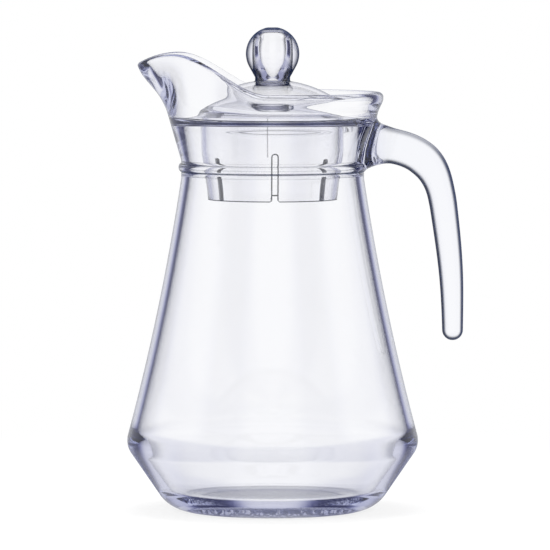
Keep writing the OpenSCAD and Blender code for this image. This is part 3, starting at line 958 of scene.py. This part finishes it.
class PITCHER_OT_dome(bpy.types.Operator):
    """Makes the domed disc of the lid"""

    bl_idname = "pitcher.dome"
    bl_label = "Lid dome"

    def execute(self, context):
        form = LidForm(context.scene.pitcher_lid)
        dome = turned("clear_dome", form.dome())
        dress(dome, lid_plastic("dome_plastic", dome_painted_shade(form)), "lid", "lid_dome")
        return {"FINISHED"}


class PITCHER_OT_knob(bpy.types.Operator):
    """Makes the hollow ball knob of the lid"""

    bl_idname = "pitcher.knob"
    bl_label = "Lid knob"
    STEPS = 96

    def execute(self, context):
        form = LidForm(context.scene.pitcher_lid)
        outline = form.knob()
        knob = turned("clear_knob", outline, self.STEPS, (outline[0].y, outline[-1].y))
        dress(knob, lid_plastic("knob_plastic", ball_painted_shade), "lid", "lid_knob")
        return {"FINISHED"}


class PITCHER_OT_skirt(bpy.types.Operator):
    """Makes the skirt of the lid and cuts its slots"""

    bl_idname = "pitcher.skirt"
    bl_label = "Lid skirt"
    STEPS, SHARP = 210, radians(35)

    def execute(self, context):
        form = LidForm(context.scene.pitcher_lid)
        skirt = turned("clear_skirt", form.skirt(), self.STEPS)
        cutter = slot_cutter(form)
        mat = lid_plastic("skirt_plastic", skirt_painted_shade(form))
        mod = skirt.modifiers.new("slots", "NODES")
        mod.node_group = slotting_tree(mat)
        values = {"Cutter": cutter, "Slots": form.s.slots, "Turn": form.s.slot_turn - pi / 2}
        for item in mod.node_group.interface.items_tree:
            if item.in_out == "INPUT" and item.name in values:
                mod[item.identifier] = values[item.name]
        make_real(skirt)
        bpy.data.objects.remove(cutter)
        for poly in skirt.data.polygons:
            poly.use_smooth = True
        skirt.data.set_sharp_from_angle(angle=self.SHARP)
        dress(skirt, mat, "lid", "lid_skirt")
        return {"FINISHED"}


# ---- the studio


class StudioSettings(bpy.types.PropertyGroup):
    """Light, backdrop and camera of the studio."""

    lens: number("Lens", 366.8, "Focal length of the camera")
    distance: length("Distance", 2.56, "Camera to the jug's axis")
    height: length("Height", 0.271, "Camera above the table")
    aside: length("Aside", 0.0011, "Camera's place along X")
    pitch: number("Pitch", radians(3.648), "Camera's tilt below level", subtype="ANGLE")
    card_level: number("Card level", 0.015, "How bright the dark cards are")
    card_tint: several("Card tint", (1.0, 0.97, 0.62),
                       "Powers of the studio's shades: a lower one makes a colour stronger")
    cards: several("Card edges", (0.83, 0.97),
                   "Cosines of the angle from the nearest side between which the cards end")
    card_top: several("Card top", (0.3, 0.6), "Sine of the heights between which they end")
    sky: several("Sky edges", (0.35, 0.75), "Sine of the heights between which the white fades")
    sky_depth: number("Sky depth", 0.5, "How much the white fades overhead")
    card_share: number("Card share", 0.12, "How dark the cards are to rays through the glass")
    far_share: number("Far share", 0.25, "The same for rays mirrored on the far walls")
    mirror_depth: number("Mirror depth", 0.3, "How much darker the room is to mirrored rays")
    table_depth: number("Table depth", 0.85, "How dark the foot's shade is to mirrored rays")
    foot: several("Foot shade", (0.08, 0.5), "Metres from the axis between which that ends")
    foot_sides: number("Foot sides", 0.35, "Share of that shade on the four sides")
    foot_cards: several("Foot edges", (0.87, 0.99), "The card edges of that shade")
    shade: number("Shadow share", 0.2, "How much of the table's white can be shaded")
    shade_reach: several("Shadow reach", (0.12, 0.4), "Metres between which that ends")


# Each softbox: its place, width and height in metres, and its watts.
LAMPS = {"left_softbox": ((-1.1, -1.2, 1.2), 0.5, 1.2, 14),
         "right_softbox": ((1.2, -0.8, 1.0), 0.4, 1.0, 8),
         "top_softbox": ((0.0, 0.2, 1.8), 1.0, 1.0, 14)}
LAMP_AIM = Vector((0, 0, 0.1))
TABLE_HALF = 12.0
PAPER = (0.9, 0.9, 0.9, 1.0)


def rays(kit, *names):
    """What kind of ray looks, and how often it was mirrored or passed through a skin."""
    return [kit.get("ShaderNodeLightPath", name) for name in names]


def mirrored(kit, s):
    """How much of the dark surroundings a ray sees: most after one mirroring in a wall."""
    turns, passes = rays(kit, "Glossy Depth", "Transmission Depth")
    inside = passes.ramp(0.0, 1.0) * (1 - passes.ramp(2.0, 3.0))
    first = turns.least(1.0) * (s.far_share + (1 - s.far_share) * inside)
    more = (turns - 1).most(0.0)
    return turns, (first + more).least(1.0)


def between(x, y, low, high):
    """1 towards the diagonals and 0 towards the four sides."""
    return 1 - (abs(x).most(abs(y)) / radius(x, y).most(TINY)).ramp(low, high)


def surround(kit, x, y, s, steep=None):
    """How white the studio looks to the glass towards (x, y), at a height of this sine.

    It is white on four sides, with dark cards between them for rays mirrored in the glass.
    """
    turns, share = mirrored(kit, s)
    cards = between(x, y, *s.cards)
    if steep is not None:
        cards = cards * (1 - steep.ramp(*s.card_top))
    cards = cards * (share + s.card_share).least(1.0)
    return (1 - cards) * (1 - turns.ramp(0.0, 3.0) * s.mirror_depth)


def card_colour(kit, white, s):
    """The studio's colour where it is this white: its shades are lavender."""
    level = white * (1 - s.card_level) + s.card_level
    parts = [kit.maths("POWER", level, p) for p in s.card_tint]
    return kit.get("ShaderNodeCombineColor", 0, (), dict(enumerate(parts)))


def studio_world(s):
    """White to the camera, and to the glass a white sweep with dark cards beside it."""
    world = bpy.data.worlds.new("studio")
    world.use_nodes = True
    world.node_tree.nodes.clear()
    kit = Sock(world.node_tree)
    x, y, z = kit.get("ShaderNodeTexCoord", "Generated").parts()
    camera, diffuse = rays(kit, "Is Camera Ray", "Is Diffuse Ray")
    level = 1 - z.ramp(*s.sky) * mirrored(kit, s)[1] * s.sky_depth
    seen = camera.most(diffuse).most(surround(kit, x, y, s, abs(z)) * level)
    glow = kit.get("ShaderNodeBackground", 0, (),
                   {"Color": card_colour(kit, seen, s), "Strength": 1.0})
    kit.node("ShaderNodeOutputWorld", (), {"Surface": glow})
    return world


def table_material(s):
    """A white table that keeps a soft shadow, with the dark cards' image for the glass."""
    mat, kit = new_material("white_table")
    x, y, _ = kit.get("ShaderNodeTexCoord", "Object").parts()
    camera, glossy, through = rays(kit, "Is Camera Ray", "Is Glossy Ray", "Is Transmission Ray")
    away = radius(x, y)
    sides = s.foot_sides + (1 - s.foot_sides) * between(x, y, *s.foot_cards)
    foot = (1 - away.ramp(*s.foot)) * sides * mirrored(kit, s)[1] * s.table_depth
    seen = camera.most(surround(kit, x, y, s) * (1 - foot))
    paper = kit.get("ShaderNodeBsdfDiffuse", 0, (), {"Color": PAPER})
    glow = kit.get("ShaderNodeEmission", 0, (),
                   {"Color": card_colour(kit, seen, s), "Strength": 1.0})
    shaded = s.shade * camera * (1 - away.ramp(*s.shade_reach))
    share = camera.most(glossy).most(through) * (1 - shaded)
    top = kit.get("ShaderNodeMixShader", 0, (), {0: share, 1: paper, 2: glow})
    kit.node("ShaderNodeOutputMaterial", (), {"Surface": top})
    return mat


def softbox(name, place, width, height, watts):
    lamp = bpy.data.lights.new(name, "AREA")
    lamp.shape, lamp.size, lamp.size_y, lamp.energy = "RECTANGLE", width, height, watts
    obj = add(name, lamp)
    obj.location = place
    obj.rotation_euler = (LAMP_AIM - Vector(place)).to_track_quat("-Z", "Y").to_euler()
    obj.visible_glossy = obj.visible_transmission = False


class PITCHER_OT_studio(bpy.types.Operator):
    """Makes the table, the surround, the lamps and the camera"""

    bl_idname = "pitcher.studio"
    bl_label = "Studio"

    def execute(self, context):
        scene, s = context.scene, context.scene.pitcher_studio
        camera = bpy.data.cameras.new("camera")
        camera.lens, camera.sensor_width = s.lens, 36.0
        camera.clip_end = 50.0
        eye = add("camera", camera)
        eye.location = (s.aside, -s.distance, s.height)
        eye.rotation_euler = (pi / 2 - s.pitch, 0.0, 0.0)
        scene.camera = eye

        bm = bmesh.new()
        bmesh.ops.create_grid(bm, x_segments=1, y_segments=1, size=TABLE_HALF)
        table = add("table", bpy.data.meshes.new("table"))
        bm.to_mesh(table.data)
        bm.free()
        table.data.materials.append(table_material(s))

        scene.world = studio_world(s)
        for name, values in LAMPS.items():
            softbox(name, *values)

        scene.view_settings.view_transform = "Standard"
        cycles = scene.cycles
        cycles.max_bounces = cycles.transmission_bounces = 32
        cycles.glossy_bounces = 24
        cycles.transparent_max_bounces = 16
        return {"FINISHED"}


class PITCHER_PT_panel(bpy.types.Panel):
    """Lists the pitcher's pieces and its studio"""

    bl_label = "Glass pitcher"
    bl_idname = "PITCHER_PT_panel"
    bl_space_type = "VIEW_3D"
    bl_region_type = "UI"
    bl_category = "Pitcher"

    def draw(self, context):
        for operator in OPERATORS:
            self.layout.operator(operator.bl_idname)
        for name in GROUPS:
            group = getattr(context.scene, name)
            box = self.layout.box()
            box.label(text=group.__doc__ or name)
            for key in group.__annotations__:
                box.prop(group, key)


OPERATORS = (PITCHER_OT_jug, PITCHER_OT_dome, PITCHER_OT_knob, PITCHER_OT_skirt,
             PITCHER_OT_studio)
GROUPS = {"pitcher_jug": JugSizes, "pitcher_handle": HandleSizes, "pitcher_lid": LidSizes,
          "pitcher_looks": GlassLooks, "pitcher_studio": StudioSettings}
CLASSES = (*GROUPS.values(), *OPERATORS, PITCHER_PT_panel)


def register():
    for cls in CLASSES:
        bpy.utils.register_class(cls)
    for name, cls in GROUPS.items():
        setattr(bpy.types.Scene, name, PointerProperty(type=cls))


def unregister():
    for name in GROUPS:
        delattr(bpy.types.Scene, name)
    for cls in reversed(CLASSES):
        bpy.utils.unregister_class(cls)


def main():
    register()
    bpy.ops.pitcher.jug()
    bpy.ops.pitcher.dome()
    bpy.ops.pitcher.knob()
    bpy.ops.pitcher.skirt()
    bpy.ops.pitcher.studio()


if __name__ == "__main__":
    main()
